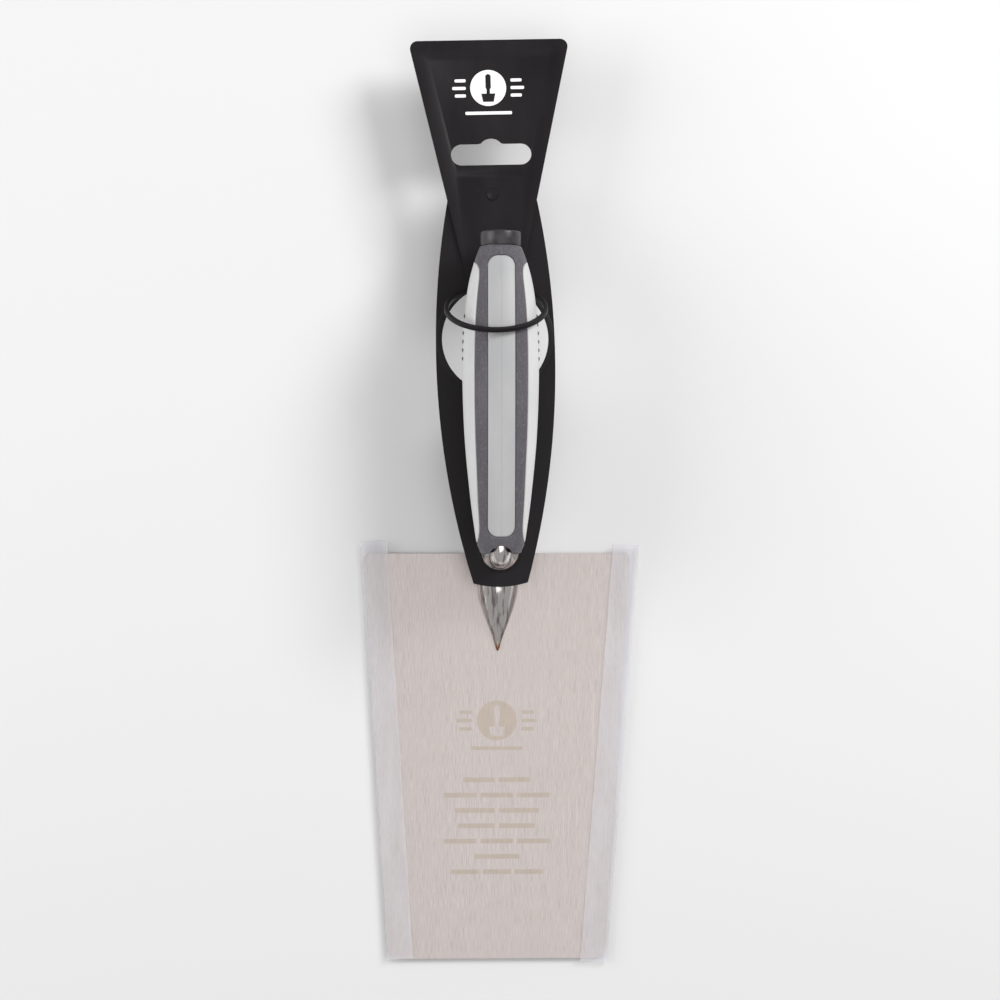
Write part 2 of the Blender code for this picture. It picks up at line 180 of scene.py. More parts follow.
def bump(tree, shader, height, distance, strength=1.0):
    node = tree.nodes.new("ShaderNodeBump")
    node.inputs["Strength"].default_value = strength
    node.inputs["Distance"].default_value = distance
    tree.links.new(height, node.inputs["Height"])
    tree.links.new(node.outputs["Normal"], shader.inputs["Normal"])


def calc(tree, operation, first, second):
    node = tree.nodes.new("ShaderNodeMath")
    node.operation = operation
    for socket, value in zip(node.inputs, (first, second)):
        if isinstance(value, (int, float)):
            socket.default_value = value
        else:
            tree.links.new(value, socket)
    return node.outputs[0]


# ---- Materials -------------------------------------------------------------------------------------

def brushed_steel():
    """Stainless sheet: fine lengthwise brush lines, wider soft bands, and a few longer scratches."""
    made, tree, shader = new_material("brushed_steel", (0.60, 0.56, 0.54), 0.42, 1.0)
    fine = noise(tree, (3600.0, 170.0, 1.0), 4.0, 0.65)
    broad = noise(tree, (520.0, 48.0, 1.0), 3.0)
    cloud = noise(tree, (22.0, 10.0, 1.0), 2.0)
    scratch = noise(tree, (2600.0, 18.0, 1.0), 1.0)
    tone = mixed(tree, spread(tree, fine, 0.36, 0.64, 0.0, 1.0), (0.37, 0.33, 0.318), (0.57, 0.515, 0.498))
    tone = mixed(tree, spread(tree, broad, 0.3, 0.7, 0.0, 0.35), tone, (0.55, 0.508, 0.492))
    tone = mixed(tree, spread(tree, cloud, 0.35, 0.65, 0.0, 0.25), tone, (0.46, 0.426, 0.41))
    tone = mixed(tree, spread(tree, scratch, 0.70, 0.78, 0.0, 0.5), tone, (0.68, 0.64, 0.62))
    tree.links.new(tone, shader.inputs["Base Color"])
    tree.links.new(spread(tree, fine, 0.25, 0.75, 0.34, 0.52), shader.inputs["Roughness"])
    bump(tree, shader, fine, 0.00002, 0.5)
    return made


def polished_steel():
    """Bright tang, clouded paler and darker, with dark lengthwise streaks that are painted reflections of a
    dark surround, and a brown heat tint where its tip is welded down.
    """
    made, tree, shader = new_material("polished_steel", (0.72, 0.70, 0.69), 0.13, 1.0)
    lines = noise(tree, (1500.0, 1500.0, 160.0), 2.0)
    smear = noise(tree, (120.0, 60.0, 90.0), 3.0)
    parts = tree.nodes.new("ShaderNodeSeparateXYZ")
    tree.links.new(place_on_object(tree), parts.inputs[0])
    wobble = calc(tree, "MULTIPLY", calc(tree, "SUBTRACT", smear, 0.5), 3 * MM)
    along = calc(tree, "ADD", parts.outputs["Y"], wobble)
    tip_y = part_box("tang")[0].y
    brown = spread(tree, along, tip_y + 2.2 * MM, tip_y + 4.2 * MM, 0.95, 0.0)
    straw = spread(tree, along, tip_y + 3.6 * MM, tip_y + 7.0 * MM, 0.35, 0.0)
    # Dark lengthwise streaks: painted reflections of a dark surround, laid into the colour.
    painted_reflection_streaks = noise(tree, (620.0, 22.0, 260.0), 3.0, 0.6)
    tone = mixed(tree, spread(tree, smear, 0.35, 0.7, 0.0, 0.5), (0.80, 0.77, 0.75), (0.60, 0.58, 0.57))
    tone = mixed(tree, spread(tree, painted_reflection_streaks, 0.50, 0.62, 0.0, 0.8), tone, (0.22, 0.19, 0.17))
    tone = mixed(tree, straw, tone, (0.62, 0.47, 0.30))
    tone = mixed(tree, brown, tone, (0.34, 0.12, 0.04))
    tree.links.new(tone, shader.inputs["Base Color"])
    tree.links.new(spread(tree, smear, 0.3, 0.7, 0.08, 0.24), shader.inputs["Roughness"])
    bump(tree, shader, lines, 0.00001, 0.4)
    return made


def core_plastic(name, darker, lighter):
    """Moulded plastic with a fine satin grain, clouded between two close tones."""
    made, tree, shader = new_material(name, darker, 0.48)
    grain = noise(tree, (5000.0, 5000.0, 5000.0), 2.0)
    cloud = noise(tree, (60.0, 40.0, 60.0), 3.0)
    tone = mixed(tree, spread(tree, cloud, 0.3, 0.7, 0.0, 1.0), darker, lighter)
    tree.links.new(tone, shader.inputs["Base Color"])
    tree.links.new(spread(tree, grain, 0.3, 0.7, 0.42, 0.56), shader.inputs["Roughness"])
    bump(tree, shader, grain, 0.00004, 0.6)
    return made


def soft_grip():
    """Dark soft overmould with an eroded texture, paler in broad random patches, with pale specks that are
    painted highlights on the grain.
    """
    colour = (0.085, 0.078, 0.092)
    made, tree, shader = new_material("grip_rubber", colour, 0.7)
    grain = noise(tree, (2600.0, 2600.0, 2600.0), 4.0, 0.65)
    pale_patches = noise(tree, (90.0, 35.0, 90.0), 4.0, 0.6)
    pale_patch_and_highlight = tuple(min(1.0, c * 1.55 + 0.012) for c in colour)
    darker = tuple(c * 0.72 for c in colour)
    # Pale specks on the grain are painted highlights.
    highlight_specks = noise(tree, (1300.0, 1100.0, 1300.0), 3.0, 0.7)
    tone = mixed(tree, spread(tree, grain, 0.35, 0.68, 0.0, 1.0), darker, colour)
    tone = mixed(tree, spread(tree, pale_patches, 0.5, 0.75, 0.0, 0.4), tone, pale_patch_and_highlight)
    tone = mixed(tree, spread(tree, highlight_specks, 0.52, 0.66, 0.0, 0.75), tone, pale_patch_and_highlight)
    tree.links.new(tone, shader.inputs["Base Color"])
    tree.links.new(spread(tree, grain, 0.3, 0.7, 0.6, 0.85), shader.inputs["Roughness"])
    shader.inputs["Sheen Weight"].default_value = 0.12
    bump(tree, shader, grain, 0.00012, 0.8)
    return made


def cap_plastic():
    """Smooth dark plastic with light handling marks."""
    made, tree, shader = new_material("cap_plastic", (0.06, 0.056, 0.064), 0.38)
    marks = noise(tree, (500.0, 500.0, 500.0), 4.0)
    tone = mixed(tree, spread(tree, marks, 0.4, 0.7, 0.0, 1.0), (0.021, 0.019, 0.022), (0.035, 0.032, 0.037))
    tree.links.new(tone, shader.inputs["Base Color"])
    tree.links.new(spread(tree, marks, 0.3, 0.7, 0.32, 0.5), shader.inputs["Roughness"])
    bump(tree, shader, marks, 0.00003, 0.5)
    return made


def hanger_black():
    """Black moulded polypropylene: fine grain, faint flow marks and dusty scuffs."""
    made, tree, shader = new_material("hanger_black", (0.026, 0.021, 0.025), 0.46)
    shader.inputs["Specular IOR Level"].default_value = 0.15
    grain = noise(tree, (3200.0, 3200.0, 3200.0), 3.0)
    flow = noise(tree, (60.0, 14.0, 60.0), 4.0, 0.6)
    dust = noise(tree, (900.0, 240.0, 900.0), 5.0, 0.7)
    flowed = spread(tree, flow, 0.35, 0.7, 0.0, 1.0)
    tone = mixed(tree, flowed, (0.008, 0.0065, 0.008), (0.013, 0.011, 0.0125))
    tone = mixed(tree, spread(tree, dust, 0.66, 0.8, 0.0, 0.3), tone, (0.11, 0.10, 0.11))
    tree.links.new(tone, shader.inputs["Base Color"])
    tree.links.new(spread(tree, flow, 0.3, 0.7, 0.38, 0.54), shader.inputs["Roughness"])
    bump(tree, shader, grain, 0.00004, 0.6)
    return made


def frosted_plastic():
    """Milky extruded plastic, partly see-through, with faint lengthwise draw lines."""
    made, tree, shader = new_material("frosted_plastic", (0.80, 0.81, 0.86), 0.4)
    draw = noise(tree, (1400.0, 16.0, 1400.0), 3.0)
    cloud = noise(tree, (160.0, 30.0, 160.0), 4.0)
    tone = mixed(tree, spread(tree, cloud, 0.3, 0.7, 0.0, 1.0), (0.80, 0.79, 0.83), (0.90, 0.89, 0.93))
    tree.links.new(tone, shader.inputs["Base Color"])
    lines = spread(tree, draw, 0.3, 0.7, 0.0, 0.07)
    haze = spread(tree, cloud, 0.3, 0.7, 0.14, 0.20)
    tree.links.new(calc(tree, "ADD", lines, haze), shader.inputs["Alpha"])
    tree.links.new(spread(tree, draw, 0.3, 0.7, 0.3, 0.5), shader.inputs["Roughness"])
    bump(tree, shader, draw, 0.00005, 0.5)
    return made


def print_white():
    """White print, a little thin in places."""
    made, tree, shader = new_material("print_white", (0.85, 0.85, 0.85), 0.5)
    thin = noise(tree, (1500.0, 1500.0, 1500.0), 4.0)
    tone = mixed(tree, spread(tree, thin, 0.62, 0.8, 0.0, 0.6), (0.86, 0.86, 0.86), (0.55, 0.55, 0.56))
    tree.links.new(tone, shader.inputs["Base Color"])
    return made


def etched_steel():
    """Steel that a laser has marked: dull, slightly tan, with the brush lines still showing."""
    made, tree, shader = new_material("etched_steel", (0.55, 0.48, 0.41), 0.5, 1.0)
    fine = noise(tree, (5200.0, 70.0, 1.0), 3.0, 0.6)
    patchy = noise(tree, (300.0, 200.0, 1.0), 4.0)
    tone = mixed(tree, spread(tree, fine, 0.3, 0.7, 0.0, 1.0), (0.40, 0.345, 0.30), (0.53, 0.465, 0.415))
    tone = mixed(tree, spread(tree, patchy, 0.35, 0.65, 0.0, 0.6), tone, (0.50, 0.43, 0.375))
    tree.links.new(tone, shader.inputs["Base Color"])
    return made


# ---- Mesh helpers ----------------------------------------------------------------------------------

def piece(name, mesh, finish, body, replaced=()):
    """Add a mesh that is already in place, finish it, and tie it to the frame."""
    obj = bpy.data.objects.new(name, mesh)
    bpy.context.scene.collection.objects.link(obj)
    mesh.materials.clear()
    mesh.materials.append(finish)
    mesh.shade_smooth()
    mesh.set_sharp_from_angle(angle=SHARP_ANGLE)
    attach(obj, body)
    if replaced:
        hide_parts(*replaced)
    return obj


def finish_mesh(work, name, place=None, merge=1e-6):
    bmesh.ops.remove_doubles(work, verts=work.verts, dist=merge)
    bmesh.ops.dissolve_degenerate(work, edges=work.edges, dist=1e-7)
    bmesh.ops.recalc_face_normals(work, faces=work.faces)
    if place is not None:
        bmesh.ops.transform(work, matrix=place, verts=work.verts)
    mesh = bpy.data.meshes.new(name)
    work.to_mesh(mesh)
    work.free()
    return mesh


def add_grid(work, rows, wrap=False):
    """Quads between rows of points; wrap joins each row's end to its start."""
    made = [[work.verts.new(point) for point in row] for row in rows]
    for first, second in zip(made, made[1:]):
        count = len(first)
        for i in range(count if wrap else count - 1):
            j = (i + 1) % count
            work.faces.new((first[i], first[j], second[j], second[i]))
    return made


def plate_mesh(name, outlines, low, high, place=None):
    """A flat plate between two heights; the outlines after the first are its holes."""
    curve = bpy.data.curves.new(name, "CURVE")
    curve.dimensions = "2D"
    curve.fill_mode = "BOTH"
    curve.extrude = (high - low) / 2
    for points in outlines:
        spline = curve.splines.new("POLY")
        spline.points.add(len(points) - 1)
        for spot, (x, y) in zip(spline.points, points):
            spot.co = (x, y, 0.0, 1.0)
        spline.use_cyclic_u = True
    guide = bpy.data.objects.new(name, curve)
    bpy.context.scene.collection.objects.link(guide)
    mesh = bpy.data.meshes.new_from_object(guide.evaluated_get(bpy.context.evaluated_depsgraph_get()))
    bpy.data.objects.remove(guide, do_unlink=True)
    work = bmesh.new()
    work.from_mesh(mesh)
    bmesh.ops.remove_doubles(work, verts=work.verts, dist=1e-6)
    bmesh.ops.translate(work, verts=work.verts, vec=(0.0, 0.0, (low + high) / 2))
    bmesh.ops.transform(work, matrix=place or Matrix.Identity(4), verts=work.verts)
    work.to_mesh(mesh)
    work.free()
    return mesh


def round_edges(obj, width, segments=3, angle=50):
    edge = obj.modifiers.new("edges", "BEVEL")
    edge.width = width
    edge.segments = segments
    edge.limit_method = "ANGLE"
    edge.angle_limit = math.radians(angle)
    edge.harden_normals = True


def bake_modifiers(obj):
    """Replace an object's mesh with its evaluated one, so that no modifier is left."""
    evaluated = obj.evaluated_get(bpy.context.evaluated_depsgraph_get())
    mesh = bpy.data.meshes.new_from_object(evaluated)
    obj.modifiers.clear()
    obj.data = mesh


def cut_with(obj, mesh, solver="EXACT"):
    """Cut a closed mesh out of an object and leave no modifier behind."""
    mesh.materials.append(obj.data.materials[0])
    tool = bpy.data.objects.new("cutter", mesh)
    bpy.context.scene.collection.objects.link(tool)
    cut = obj.modifiers.new("cut", "BOOLEAN")
    cut.object = tool
    cut.solver = solver
    bake_modifiers(obj)
    bpy.data.objects.remove(tool, do_unlink=True)
    if not obj.data.polygons:
        raise RuntimeError("the cut left nothing of " + obj.name)
    obj.data.set_sharp_from_angle(angle=SHARP_ANGLE)


def arc(centre, radius, start, end, steps):
    angles = [math.radians(start + (end - start) * i / steps) for i in range(steps + 1)]
    return [(centre[0] + radius * math.cos(a), centre[1] + radius * math.sin(a)) for a in angles]


def rounded_outline(corners, steps=8):
    """Round each (x, y, radius) corner of a polygon with an arc that touches both its sides."""
    points = []
    for i, (x, y, radius) in enumerate(corners):
        corner = Vector((x, y))
        before = (Vector(corners[i - 1][:2]) - corner).normalized()
        after = (Vector(corners[(i + 1) % len(corners)][:2]) - corner).normalized()
        half = before.angle(after) / 2
        centre = corner + (before + after).normalized() * radius / math.sin(half)
        start = corner + before * radius / math.tan(half) - centre
        turn = start.angle_signed(corner + after * radius / math.tan(half) - centre)
        for step in range(steps + 1):
            spot = centre + Matrix.Rotation(-turn * step / steps, 2) @ start
            points.append((spot.x, spot.y))
    return points


def box_outline(x, y, width, height, radius):
    left, right = x - width / 2, x + width / 2
    bottom, top = y - height / 2, y + height / 2
    return rounded_outline(((left, top, radius), (left, bottom, radius),
                            (right, bottom, radius), (right, top, radius)), 5)


def smooth_through(stations, count):
    """A Catmull-Rom line through (distance, value) stations in mm, given back in metres."""
    padded = [stations[0], *stations, stations[-1]]
    line = []
    for i in range(len(stations) - 1):
        a, b, c, d = (Vector(padded[i + k]) for k in range(4))
        for step in range(count):
            t = step / count
            spot = 0.5 * (2 * b + (c - a) * t + (2 * a - 5 * b + 4 * c - d) * t ** 2
                          + (3 * b - a - 3 * c + d) * t ** 3)
            line.append((spot.x * MM, spot.y * MM))
    line.append((stations[-1][0] * MM, stations[-1][1] * MM))
    return line


def value_at(line, at):
    """Linear look-up in a list of (distance, value), 0 outside it."""
    for (t0, v0), (t1, v1) in zip(line, line[1:]):
        if t0 <= at <= t1:
            return v0 + (v1 - v0) * (at - t0) / max(t1 - t0, 1e-9)
    return 0.0


# ---- Grip ------------------------------------------------------------------------------------------

GRIP_LINE = smooth_through(GRIP_STATIONS, 12)
SIDE_LINE = smooth_through(SIDE_OUTLINE, 8)


def grip_radius(at):
    if at < GRIP_LINE[0][0]:
        return GRIP_LINE[0][1]
    return value_at(GRIP_LINE, at) or GRIP_LINE[-1][1]


def front_half(at):
    """Half-width of the front and back windows at a distance from the grip's front end."""
    inside = min(at - PANEL_START, PANEL_END - at)
    if inside < 0:
        return 0.0
    if inside < PANEL_CORNER:
        return PANEL_HALF - PANEL_CORNER + math.sqrt(PANEL_CORNER ** 2 - (PANEL_CORNER - inside) ** 2)
    return PANEL_HALF


def side_half(at):
    return value_at(SIDE_LINE, at)


def on_grip(angle, at, drop=0.0, radius=None):
    """A point on the grip; the angle runs from straight up towards +X."""
    r = (grip_radius(at) if radius is None else radius) - drop
    return Vector((AXIS_X + r * math.sin(angle), FRONT_Y + at, AXIS_Z + r * math.cos(angle)))


def pad_rows(line_of_half, start, end, count):
    """(distance, half-width) rows, closest together at the rounded ends."""
    rows = []
    for i in range(count + 1):
        share = (1 - math.cos(math.pi * i / count)) / 2
        at = start + (end - start) * share
        rows.append((at, line_of_half(at)))
    return rows


def add_pad(work, rows, centre_angle, clearance):
    """A panel that fills a window of the sleeve, with rounded edges that turn down into the gap."""
    middle = (rows[0][0] + rows[-1][0]) / 2
    reach = (rows[-1][0] - rows[0][0]) / 2

    def edge_rows(inset):
        shrink = (reach - inset) / reach
        return [(middle + (at - middle) * shrink, max(half - inset, 0.0)) for at, half in rows]

    def spot(at, across, drop):
        radius = grip_radius(at)
        return on_grip(centre_angle + math.asin(max(-1.0, min(1.0, across / radius))), at, drop)

    rounding = 0.42
    loops = []
    for inset, drop in ((0.0, 1.5), (0.0, rounding), (0.06, 0.2), (0.2, 0.06), (rounding, 0.0)):
        level = edge_rows(clearance + inset * MM)
        right = [spot(at, half, drop * MM) for at, half in level]
        left = [spot(at, -half, drop * MM) for at, half in level]
        loops.append(right + left[::-1])
    add_grid(work, loops, wrap=True)
    columns = 14
    top = edge_rows(clearance + rounding * MM)
    across = [-1 + 2 * i / columns for i in range(columns + 1)]
    add_grid(work, [[spot(at, half * share, 0.0) for share in across] for at, half in top])


def distance_to(line, at, across):
    """Distance from a point to an outline of (distance, half-width) points, the same on both sides."""
    point = Vector((at, abs(across)))
    best = 1.0
    for first, second in zip(line, line[1:]):
        a = Vector(first)
        run = Vector(second) - a
        share = max(0.0, min(1.0, (point - a).dot(run) / max(run.length_squared, 1e-12)))
        best = min(best, (point - a - run * share).length)
    return best


def edge_drop(distance):
    """How far the sleeve's surface turns down close to a window."""
    reach = 0.5 * MM
    return 0.0 if distance >= reach else 0.32 * MM * (1 - distance / reach) ** 2


def end_ring(row, radius, at):
    """A row of the sleeve moved to another radius and distance, each point along its own ray."""
    centre = Vector((AXIS_X, row[0].y, AXIS_Z))
    end = Vector((AXIS_X, FRONT_Y + at, AXIS_Z))
    return [end + (spot - centre).normalized() * radius for spot in row]


def build_sleeve(finish):
    """The soft sleeve, as four strips between its windows that meet at both ends."""
    front_line = [(PANEL_START, 0.0)] + pad_rows(front_half, PANEL_START, PANEL_END, 60) + [(PANEL_END, 0.0)]
    first_stop, last_stop, pitch, fine_pitch = 1.4, 119.1, 1.25, 0.22
    stops = {round(first_stop + i * pitch, 3) for i in range(95)}
    for end in (PANEL_START, PANEL_END, SIDE_LINE[0][0], SIDE_LINE[-1][0]):
        near_front = end < 20 * MM
        stops |= {round(end / MM + i * fine_pitch, 3) for i in range(-10, 24 if near_front else 4)}
        stops |= {round(end / MM - i * fine_pitch, 3) for i in range(0, 4 if near_front else 24)}
    stops = sorted(stop * MM for stop in stops if first_stop <= stop <= last_stop)
    insets = [0.0, 0.07, 0.16, 0.3, 0.5]
    work = bmesh.new()
    for mirror in (1, -1):
        for base in (0.0, math.pi):
            rows = []
            for at in stops:
                radius = grip_radius(at)
                inner = math.asin(front_half(at) / radius)
                outer = math.acos(side_half(at) / radius)
                span = outer - inner
                steps = [inset * MM / radius for inset in insets]
                steps += [steps[-1] + (span - 2 * steps[-1]) * i / 9 for i in range(1, 9)]
                steps += [span - inset * MM / radius for inset in insets[::-1]]
                row = []
                for step in steps:
                    angle = inner + step
                    near = min(distance_to(front_line, at, radius * math.sin(angle)),
                               distance_to(SIDE_LINE, at, radius * math.cos(angle)))
                    row.append(on_grip(base + mirror * angle if base == 0 else base - mirror * angle,
                                       at, edge_drop(near)))
                rows.append(row)
            nose = [end_ring(rows[0], r * MM, at * MM)
                    for r, at in ((5.4, 0.0), (6.9, 0.0), (7.6, 0.25), (8.1, 0.7))]
            tail = [end_ring(rows[-1], r * MM, at * MM)
                    for r, at in ((8.15, 119.5), (7.9, 119.8), (6.0, 119.8))]
            add_grid(work, nose + rows + tail)
    mesh = finish_mesh(work, "sleeve_fine", merge=5e-6)
    sleeve = piece("sleeve_fine", mesh, finish, "trowel", ("grip_sleeve",))
    wall = sleeve.modifiers.new("wall", "SOLIDIFY")
    wall.thickness = 1.6 * MM
    wall.offset = -1.0
    cut_notch(sleeve)


def cut_notch(obj):
    """Cut the arch at the grip's front end, where the neck nests. The exact solver loses the thin sleeve."""
    outline = arc((AXIS_X, NECK_Y), ROD_RADIUS + 0.5 * MM, 0, 355, 71)
    cut_with(obj, plate_mesh("notch", [outline], AXIS_Z - 20 * MM, AXIS_Z + 20 * MM), "MANIFOLD")


def build_core(finish, lit_side_finish):
    """The rigid core: a tube inside the sleeve, and four panels that fill the windows; the side panels take a
    paler copy of the same plastic, painted light from the side lamps.
    """
    work = bmesh.new()
    steps = 64
    bore = ROD_RADIUS + 0.5 * MM
    profile = [(bore, 1.9 * MM)]
    profile += [(grip_radius(at) - 1.4 * MM, at) for at in [1.9 * MM + i * 2.9 * MM for i in range(41)]]
    profile += [(bore, GRIP_LENGTH - 2.3 * MM)]
    rings = [[on_grip(math.tau * i / steps, at, radius=radius) for i in range(steps)]
             for radius, at in profile]
    add_grid(work, rings + [rings[0]], wrap=True)
    tube = piece("core_tube", finish_mesh(work, "core_tube"), finish, "trowel", ("handle_core",))
    cut_notch(tube)

    front = pad_rows(front_half, PANEL_START, PANEL_END, 72)
    side = pad_rows(side_half, SIDE_LINE[0][0], SIDE_LINE[-1][0], 72)
    for name, rows, angles, tone in (("core_panels", front, (0.0, math.pi), finish),
                                     ("core_side_panels", side, (math.pi / 2, -math.pi / 2), lit_side_finish)):
        work = bmesh.new()
        for angle in angles:
            add_pad(work, rows, angle, 0.12 * MM)
        piece(name, finish_mesh(work, name), tone, "trowel", ("handle_core",))

    for name, angle in (("seam_front", 0.0), ("seam_back", math.pi)):
        seam = bmesh.new()
        stops = [PANEL_START + 0.6 * MM + (PANEL_END - PANEL_START - 1.2 * MM) * i / 60 for i in range(61)]
        rows = []
        for at in stops:
            radius = grip_radius(at)
            rows.append([on_grip(angle + across * MM / radius, at, drop * MM)
                         for across, drop in ((-0.24, 0.06), (-0.12, -0.09), (0.12, -0.09), (0.24, 0.06))])
        add_grid(seam, rows, wrap=True)
        piece(name, finish_mesh(seam, name), finish, "trowel")


def build_grip_dots(finish):
    """A row of six small raised dots on each side panel."""
    first, pitch, turn = 76.0 * MM, 3.3 * MM, math.radians(83)
    for name, side in (("grip_dots_left", -1), ("grip_dots_right", 1)):
        work = bmesh.new()
        for i in range(6):
            at = first + i * pitch
            centre = on_grip(side * turn, at)
            out = (centre - Vector((AXIS_X, centre.y, AXIS_Z))).normalized()
            stand = Matrix.Translation(centre) @ out.to_track_quat("Z", "X").to_matrix().to_4x4()
            dome = bmesh.ops.create_uvsphere(work, u_segments=20, v_segments=12, radius=1.0)["verts"]
            bmesh.ops.transform(work, matrix=stand @ Matrix.Diagonal((1.25 * MM, 0.8 * MM, 0.34 * MM, 1.0)),
                                verts=dome)
        piece(name, finish_mesh(work, name), finish, "trowel")


def turned_mesh(name, profile, steps, place):
    """Turn a (radius, height) profile round Z."""
    work = bmesh.new()
    rows = [[(radius * math.cos(math.tau * i / steps), radius * math.sin(math.tau * i / steps), height)
             for i in range(steps)] for radius, height in profile]
    add_grid(work, rows, wrap=True)
    return finish_mesh(work, name, place)


def build_cap(finish):
    top = cap_high.y - FRONT_Y
    base = GRIP_LENGTH + 0.05 * MM
    edge = 0.7 * MM
    profile = [(0.0, top), (2.2 * MM, top), (2.4 * MM, top - 0.15 * MM), (2.8 * MM, top - 0.15 * MM),
               (3.0 * MM, top), (CAP_RADIUS - edge, top)]
    profile += [(CAP_RADIUS - edge + edge * math.sin(a), top - edge + edge * math.cos(a))
                for a in (math.radians(15 * i) for i in range(1, 7))]
    profile += [(CAP_RADIUS, base + 0.45 * MM), (CAP_RADIUS - 0.1 * MM, base + 0.3 * MM),
                (CAP_RADIUS - 0.6 * MM, base + 0.25 * MM), (CAP_RADIUS - 0.6 * MM, base - 0.4 * MM),
                (0.0, base - 0.4 * MM)]
    place = Matrix.Translation((AXIS_X, FRONT_Y, AXIS_Z)) @ Matrix.Rotation(math.radians(-90), 4, "X")
    mesh = turned_mesh("cap_fine", profile, 96, place)
    piece("cap_fine", mesh, finish, "trowel", ("butt_cap",))


# ---- Steel -----------------------------------------------------------------------------------------

def build_blade(finish):
    outline = rounded_outline((
        (BLADE_X - BLADE_HEEL_HALF, HEEL_Y, 2.2 * MM), (BLADE_X - BLADE_TOE_HALF, TOE_Y, 5.0 * MM),
        (BLADE_X + BLADE_TOE_HALF, TOE_Y, 5.0 * MM), (BLADE_X + BLADE_HEEL_HALF, HEEL_Y, 2.2 * MM)), 16)
    mesh = plate_mesh("blade_fine", [outline], blade_low.z, blade_high.z)
    blade = piece("blade_fine", mesh, finish, "trowel", ("blade",))
    round_edges(blade, 0.3 * MM)


def tang_sections():
    """(back, front, half-width, share of the depth below the widest line) along the tang."""
    base = BLADE_TOP - 0.02 * MM
    lift = 0.32 * MM
    bend = 5.0 * MM
    elbow = Vector((NECK_Y + bend, AXIS_Z - bend))
    sweep = Vector((NECK_Y - 15.0 * MM, base + lift + 20.2 * MM))
    sections = []
    for length, radius in ((84.0, 2.0), (80.0, 3.6), (72.0, 4.4), (40.0, 4.4), (4.4, 4.4)):
        y = FRONT_Y + length * MM
        sections.append((Vector((y, AXIS_Z - radius * MM)), Vector((y, AXIS_Z + radius * MM)),
                         radius * MM, 0.5))
    for degrees in range(0, 91, 15):
        angle = math.radians(90 + degrees)
        ray = Vector((math.cos(angle), math.sin(angle)))
        sections.append((elbow + ray * (bend - ROD_RADIUS), elbow + ray * (bend + ROD_RADIUS),
                         ROD_RADIUS, 0.5))
    sweep_start = len(sections)
    for degrees, half, share in ((0, 4.4, 0.5), (15, 5.0, 0.46), (30, 6.1, 0.4), (45, 7.4, 0.33),
                                 (60, 8.4, 0.25), (75, 8.6, 0.18), (90, 8.3, 0.12)):
        angle = math.radians(degrees)
        ray = Vector((math.cos(angle), -math.sin(angle)))
        back = sweep + ray * (19.4 + 0.8 * degrees / 90) * MM
        front = sweep + ray * (10.6 - 0.3 * degrees / 90) * MM
        sections.append((back, front, half * MM, share))
    for reach, top, half in ((4.6, 7.7, 7.1), (9.0, 6.0, 5.6), (13.0, 4.2, 4.1), (16.4, 2.7, 2.7),
                             (19.8, 1.5, 1.5), (22.6, 0.9, 0.8), (23.8, 0.6, 0.3)):
        y = sweep.x - reach * MM
        sections.append((Vector((y, base + lift)), Vector((y, base + lift + top * MM)), half * MM, 0.12))
    # The weld closes the last of the gap: the foot's underside goes down onto the blade.
    first_grounded = sweep_start + 5
    grounded = []
    for index, (back, front, half, share) in enumerate(sections):
        if index >= first_grounded:
            back = Vector((back.x, min(back.y, base)))
        grounded.append((back, front, half, share))
    return grounded


def build_tang(finish):
    sides = 24
    rows = []
    for back, front, half, share in tang_sections():
        reach = front - back
        row = []
        for i in range(sides):
            angle = math.tau * i / sides
            rise = math.sin(angle)
            along = share + rise * (1 - share if rise > 0 else share)
            spot = back + reach * along
            row.append((AXIS_X + half * math.cos(angle), spot.x, spot.y))
        rows.append(row)
    work = bmesh.new()
    made = add_grid(work, rows, wrap=True)
    work.faces.new(made[0])
    work.faces.new(made[-1])
    tang = piece("tang_fine", finish_mesh(work, "tang_fine"), finish, "trowel", ("tang",))
    smooth = tang.modifiers.new("smooth", "SUBSURF")
    smooth.levels = 2
    smooth.render_levels = 2


# ---- Marks -----------------------------------------------------------------------------------------

def emblem(width):
    """Plain pictogram: a disc with a trowel shape cut out of it, short bars beside it, a thin line below."""
    unit = width / 31.0
    disc = arc((0.0, 4.5 * unit), 7.4 * unit, 0, 354, 59)
    trowel = [(-2.9, 2.2), (-2.2, -1.2), (2.2, -1.2), (2.9, 2.2), (0.7, 2.2), (0.7, 4.0), (1.1, 4.6),
              (1.1, 9.6), (0.0, 10.4), (-1.1, 9.6), (-1.1, 4.6), (-0.7, 4.0), (-0.7, 2.2)]
    shapes = [[disc, [(x * unit, y * unit) for x, y in trowel]]]
    for side in (-1, 1):
        for level, reach in ((7.6, 4.6), (4.5, 5.6), (1.4, 4.6)):
            shapes.append([box_outline(side * (9.2 + reach / 2) * unit, level * unit,
                                       reach * unit, 1.3 * unit, 0.5 * unit)])
    shapes.append([box_outline(0.0, -5.8 * unit, 0.62 * width, 1.3 * unit, 0.5 * unit)])
    return shapes


def add_marks(name, shapes, place, low, high, finish, body):
    work = bmesh.new()
    for outlines in shapes:
        mesh = plate_mesh(name, outlines, low, high, place)
        work.from_mesh(mesh)
        bpy.data.meshes.remove(mesh)
    mesh = bpy.data.meshes.new(name)
    work.to_mesh(mesh)
    work.free()
    piece(name, mesh, finish, body)


